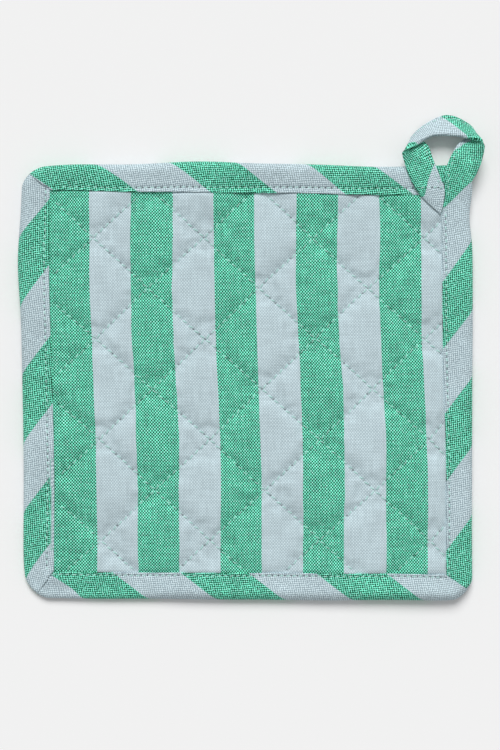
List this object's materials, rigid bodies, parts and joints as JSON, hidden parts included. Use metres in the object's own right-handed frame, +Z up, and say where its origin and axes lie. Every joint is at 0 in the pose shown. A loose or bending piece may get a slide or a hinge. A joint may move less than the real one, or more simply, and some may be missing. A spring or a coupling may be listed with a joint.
{
  "type": "pot holder",
  "caption": "Square quilted cotton pot holder with striped covers, wadding, a bias-bound edge and a corner hanging loop that bends at the pad's edge.",
  "frame": {"origin": "middle of the whole footprint, hanging loop included, at table height", "axes": "+Z up from the table, out of the striped front; +Y along the pad towards the edge with the hanging loop; +X to the right seen from the front"},
  "size_m": [0.2142, 0.2264, 0.0134],
  "materials": {
    "cover_cloth": "matt plain-woven cotton in sea green and pale blue stripes",
    "wadding": "matt lofted cotton wadding",
    "binding_tape": "matt plain-woven cotton cut on the bias, in the same stripes",
    "sewing_thread": "matt spun sewing thread, pale blue"
  },
  "bodies": {
    "pad": {"front_cover": "cover_cloth", "back_cover": "cover_cloth", "wadding": "wadding", "edge_binding": "binding_tape", "loop_sewn_end": "binding_tape", "quilting_thread_front": "sewing_thread", "quilting_thread_back": "sewing_thread", "binding_thread_front": "sewing_thread", "binding_thread_back": "sewing_thread"},
    "loop": {"hanging_loop": "binding_tape"}
  },
  "joints": [
    {"name": "loop_bend", "type": "hinge", "parent": "pad", "child": "loop", "pos_m": [0.0886, 0.0911, 0.0086], "axis": [1, 0, 0], "range_deg": [-60, 105]}
  ]
}
